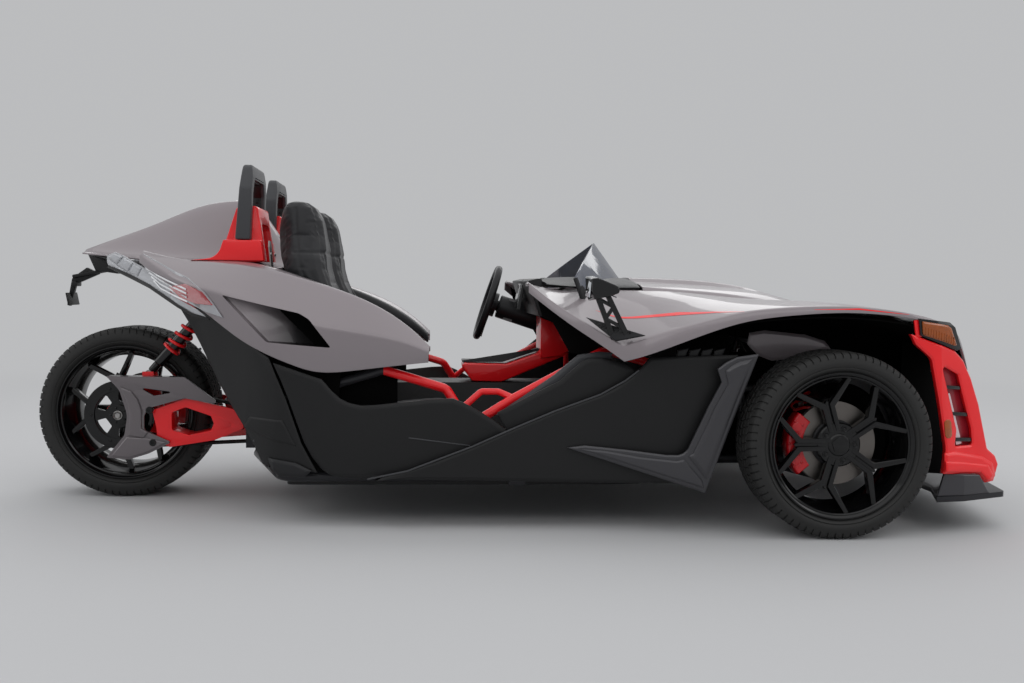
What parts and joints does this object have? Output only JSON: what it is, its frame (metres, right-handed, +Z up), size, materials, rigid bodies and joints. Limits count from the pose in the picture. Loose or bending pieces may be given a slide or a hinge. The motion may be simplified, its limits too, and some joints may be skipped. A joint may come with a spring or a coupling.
{
  "type": "open two-seat three wheeled car",
  "caption": "Open three wheeled roadster: steered front wheels under blade-like fenders, a belt-driven rear wheel on a fork, and side-by-side seats under roll hoops.",
  "frame": {"origin": "on the ground, below the middle of the car's length and width", "axes": "+X forward, +Y to the car's left, +Z up"},
  "size_m": [3.798, 1.98, 1.318],
  "materials": {
    "tyre": "matte",
    "rubber": "matte",
    "wheel_black": "gloss",
    "steel": "satin",
    "red_paint": "gloss",
    "body_paint": "gloss metallic",
    "dark_paint": "satin metallic",
    "seat_cover": "matte",
    "tinted_glass": "gloss",
    "cast_metal": "satin",
    "lamp": "gloss",
    "tail_lens": "gloss",
    "amber_lens": "gloss",
    "black_plastic": "textured"
  },
  "bodies": {
    "car": {"angle_drive": "cast_metal", "arch_panels": "body_paint", "center_console": "red_paint", "cowl": "body_paint", "dashboard": "black_plastic", "drive_belt": "rubber", "engine_block": "cast_metal", "exhaust": "cast_metal", "floor_tub": "black_plastic", "frame_front": "dark_paint", "frame_rear": "red_paint", "frame_sides": "red_paint", "front_fangs": "red_paint", "front_fenders": "body_paint", "front_lamps": "lamp", "front_shocks": "red_paint", "grille": "black_plastic", "hoop_fairings": "red_paint", "marker_lamps": "amber_lens", "mirrors": "black_plastic", "plate_bracket": "black_plastic", "rear_bulkhead": "black_plastic", "rear_caliper": "red_paint", "rear_deck": "body_paint", "rear_quarters": "body_paint", "rear_shock": "red_paint", "rear_side_covers": "black_plastic", "roll_hoops": "black_plastic", "seats": "seat_cover", "side_fins": "dark_paint", "side_panels": "black_plastic", "side_swooshes": "black_plastic", "splitter": "dark_paint", "splitter_ends": "dark_paint", "steering_column": "black_plastic", "steering_rack": "cast_metal", "swingarm": "red_paint", "swingarm_cover": "body_paint", "tail_lamps": "tail_lens", "windshield": "tinted_glass", "wishbones": "cast_metal"},
    "hood": {"hood": "body_paint"},
    "knuckle_left": {"knuckle_left": "cast_metal", "caliper_left": "red_paint"},
    "knuckle_right": {"knuckle_right": "cast_metal", "caliper_right": "red_paint"},
    "wheel_front_left": {"front_tyre_left": "tyre", "front_rim_left": "wheel_black", "front_disc_left": "steel"},
    "wheel_front_right": {"front_tyre_right": "tyre", "front_rim_right": "wheel_black", "front_disc_right": "steel"},
    "wheel_rear": {"rear_tyre": "tyre", "rear_rim": "wheel_black", "rear_disc": "steel", "rear_pulley": "cast_metal"},
    "steering_wheel": {"steering_wheel": "black_plastic"},
    "rack": {"tie_rods": "cast_metal"}
  },
  "joints": [
    {"name": "hood_hinge", "type": "hinge", "parent": "car", "child": "hood", "pos_m": [1.878, 0, 0.506], "axis": [0, 1, 0], "range_deg": [0, 55]},
    {"name": "steer_left", "type": "hinge", "parent": "car", "child": "knuckle_left", "pos_m": [1.112, 0.79, 0.33], "axis": [0, 0, 1], "range_deg": [-30, 30]},
    {"name": "steer_right", "type": "hinge", "parent": "car", "child": "knuckle_right", "pos_m": [1.112, -0.79, 0.33], "axis": [0, 0, 1], "range_deg": [-30.5, 30.5]},
    {"name": "rack_slide", "type": "slide", "parent": "car", "child": "rack", "axis": [0, 1, 0], "range_m": [-0.075, 0.075]},
    {"name": "steering_wheel_turn", "type": "hinge", "parent": "car", "child": "steering_wheel", "pos_m": [-0.067, 0.33, 0.795], "axis": [-0.9511, 0, 0.309], "range_deg": [-455, 455]},
    {"name": "spin_front_left", "type": "hinge", "parent": "knuckle_left", "child": "wheel_front_left", "pos_m": [1.112, 0.8775, 0.33], "axis": [0, 1, 0], "continuous": true},
    {"name": "spin_front_right", "type": "hinge", "parent": "knuckle_right", "child": "wheel_front_right", "pos_m": [1.112, -0.8775, 0.33], "axis": [0, 1, 0], "continuous": true},
    {"name": "spin_rear", "type": "hinge", "parent": "car", "child": "wheel_rear", "pos_m": [-1.555, 0, 0.345], "axis": [0, 1, 0], "continuous": true}
  ],
  "couplings": [
    {"joint": "steer_right", "follows": "steer_left", "ratio": 1},
    {"joint": "rack_slide", "follows": "steer_left", "m_per_rad": -0.124},
    {"joint": "steering_wheel_turn", "follows": "steer_left", "ratio": 15}
  ]
}
